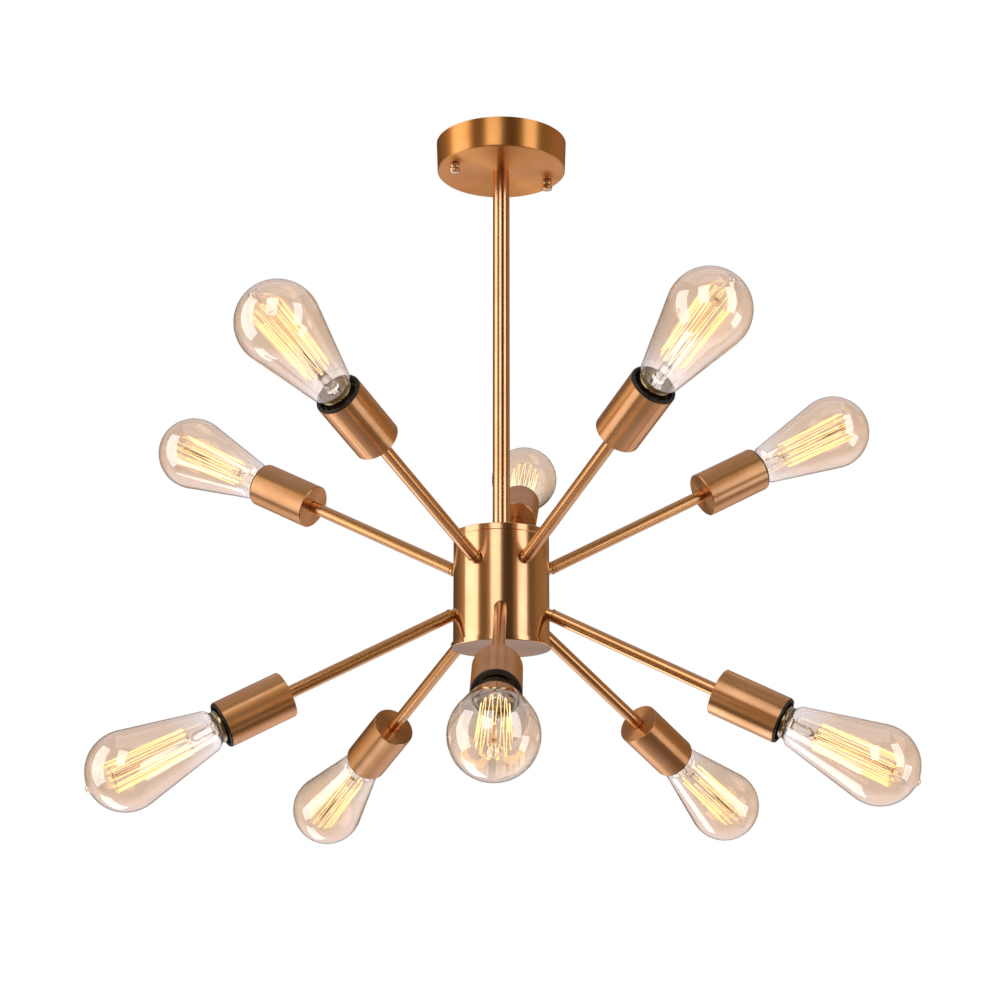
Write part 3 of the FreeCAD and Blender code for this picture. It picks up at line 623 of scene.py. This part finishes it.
def finger_nut(side):
    """A blind knurled nut in its CAD node's box: waist, groove, and a wide grip below."""
    node = "cap_nut_" + side
    low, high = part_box(node)
    middle = (low + high) / 2
    reach = (high.x - low.x) / 2 / MM
    height = (high.z - low.z) / MM
    line = [(NUT_BORE, height - 0.02), (3.7, height - 0.02), (4.1, height - 0.4)]
    line += [(4.15, height - 0.4 - 2.4 * step / 10) for step in range(1, 11)]
    line += [(3.6, height - 3.2), (3.35, height - 3.9), (3.4, height - 4.4), (4.3, height - 5.1)]
    line += [(reach - 0.02, height - 5.2 - 2.6 * step / 10) for step in range(11)]
    line += [(reach - 0.4, 0.55), (3.4, 0.2), (1.8, 0.05), (0.0, 0.02)]
    bore = [(0.0, height - BORE_DEPTH), (NUT_BORE, height - BORE_DEPTH)]
    piece = turned_piece("finger_nut_" + side, in_mm(line + bore), KNURLED, steps=168, change=knurl)
    piece.matrix_world = Matrix.Translation((middle.x, middle.y, low.z))
    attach(piece, node)
    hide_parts(node)


# ---------------------------------------------------------------- studio

CAMERA_PLACE = (-0.0011, -1.677, -0.7744)
CAMERA_TILT = 105.0
CAMERA_LENS, CAMERA_SENSOR = 74.16, 36.0
LIGHT_DISTANCE = 2.2
AIM = Vector((0, 0, -0.42))
FLOOR_HEIGHT, FLOOR_SPAN = -2.9, 14.0


def make_camera():
    """The camera stands in front of the lamp and a little below it, and looks up at it."""
    camera = bpy.data.cameras.new("camera")
    camera.lens = CAMERA_LENS
    camera.sensor_width = CAMERA_SENSOR
    camera.clip_start = 0.01
    holder = bpy.data.objects.new("camera", camera)
    holder.location = CAMERA_PLACE
    holder.rotation_euler = (math.radians(CAMERA_TILT), 0, 0)
    bpy.context.scene.collection.objects.link(holder)
    bpy.context.scene.camera = holder


def softbox(name, bearings, rises, brightness):
    """A soft light that fills those angles round the lamp: from the front to the right, and up."""
    around = math.radians(sum(bearings) / 2)
    above = math.radians(sum(rises) / 2)
    flat = math.cos(above)
    way = Vector((math.sin(around) * flat, -math.cos(around) * flat, math.sin(above)))
    light = bpy.data.lights.new(name, "AREA")
    light.shape = "RECTANGLE"
    light.size = 2 * LIGHT_DISTANCE * math.tan(math.radians(bearings[1] - bearings[0]) / 2)
    light.size_y = 2 * LIGHT_DISTANCE * math.tan(math.radians(rises[1] - rises[0]) / 2)
    light.energy = brightness * math.pi * light.size * light.size_y
    holder = bpy.data.objects.new(name, light)
    holder.location = AIM + way * LIGHT_DISTANCE
    holder.rotation_euler = (-way).to_track_quat("-Z", "Y").to_euler()
    holder.visible_camera = False
    bpy.context.scene.collection.objects.link(holder)


def make_floor():
    """A plain pale floor, which the brass doesn't mirror."""
    tree = new_tree("floor")
    cloud = tree.noise(tree.place(), 0.6, 2.0)
    colour = tree.mix(cloud, rgb(0.86, 0.86, 0.86), rgb(0.82, 0.82, 0.82))
    tree.finish(Base_Color=colour, Roughness=0.7,
                Emission_Color=rgb(1.0, 0.98, 0.97), Emission_Strength=0.3)
    corners = [(x * FLOOR_SPAN, y * FLOOR_SPAN, 0) for x, y in ((-1, -1), (1, -1), (1, 1), (-1, 1))]
    floor = mesh_object("floor", corners, [(0, 1, 2, 3)], tree.owner, smooth=False)
    floor.location = (0, 0, FLOOR_HEIGHT)
    floor.visible_glossy = False


# How bright the room is round the lamp, in reflections: from the back by the left, the front and
# the right to the back again. The bearings are in degrees, with the front at 0 and the right at 90.
ROOM = (
    (-180, 0.10), (-150, 0.10), (-124, 0.20), (-112, 0.35), (-100, 0.45), (-62, 0.45), (-50, 0.20),
    (-40, 0.18), (-30, 0.35), (-8, 0.35), (-2, 0.22), (6, 0.07), (26, 0.07), (36, 0.35),
    (58, 0.35), (69, 0.14), (81, 0.14), (94, 0.30), (129, 0.36), (150, 0.24), (180, 0.10),
)
WARM_GREEN, WARM_BLUE = 0.64, 0.32
LOOK_THROUGH_BOOST = 0.12


def room_colours(tree, share):
    """The room's warm brightness round the lamp."""
    ramp = tree.add("ValToRGB", {0: share})
    stops = ramp.color_ramp.elements
    while len(stops) < len(ROOM):
        stops.new(1.0)
    for stop, (degrees, bright) in zip(stops, ROOM):
        stop.position = degrees / 360 + 0.5
        stop.color = rgb(bright, bright * WARM_GREEN, bright * WARM_BLUE)
    return ramp.outputs[0]


def make_world():
    """White wherever it is seen or looked through, and a warm banded room in reflections."""
    world = bpy.data.worlds.new("studio")
    tree = Tree(world)
    tree.nodes.clear()
    direction = tree.add("TexCoord").outputs["Generated"]
    right, back, up = tree.add("SeparateXYZ", {0: direction}).outputs
    bearing = tree.math("ARCTAN2", right, tree.math("MULTIPLY", back, -1.0))
    walls = room_colours(tree, tree.math("ADD", tree.math("DIVIDE", bearing, TURN), 0.5))
    behind = tree.spread(back, 0.0, 1.0, (-0.1, 0.5))
    sky = tree.mix(behind, rgb(0.06, 0.04, 0.02), rgb(0.50, 0.43, 0.42))
    ground = tree.mix(behind, rgb(0.10, 0.06, 0.035), rgb(0.84, 0.76, 0.77))
    upper = tree.mix(tree.spread(up, 0.0, 1.0, (0.42, 0.68)), walls, sky)
    room = tree.mix(tree.spread(up, 1.0, 0.0, (-0.40, -0.10)), upper, ground)
    rays = tree.add("LightPath").outputs
    seen = tree.math("MAXIMUM", rays["Is Camera Ray"], rays["Is Transmission Ray"])
    boost = tree.math("MULTIPLY", rays["Is Transmission Ray"], LOOK_THROUGH_BOOST)
    strength = tree.math("ADD", boost, 1.0)
    white = tree.add("Background", {"Color": rgb(1, 1, 1), "Strength": strength}).outputs[0]
    mirrored = tree.add("Background", {"Color": room}).outputs[0]
    both = tree.add("MixShader", {0: seen, 1: mirrored, 2: white}).outputs[0]
    tree.add("OutputWorld", {"Surface": both})
    bpy.context.scene.world = world


def make_studio():
    make_world()
    make_floor()
    softbox("softbox_left", (-95, -57), (-30, 42), 1.6)
    softbox("softbox_front", (-25, -2), (3, 45), 1.7)
    softbox("softbox_right", (40, 63), (-12, 40), 1.6)
    softbox("softbox_right_low", (66, 88), (-32, -6), 1.5)
    softbox("softbox_top", (-30, 30), (55, 105), 0.3)
    softbox("softbox_low", (-150, -110), (-62, -38), 1.4)


dress_frame_nodes()
build_bulbs()
finger_nut("left")
finger_nut("right")
make_camera()
make_studio()
bpy.context.scene.view_settings.view_transform = "Standard"

bpy.context.view_layer.update()
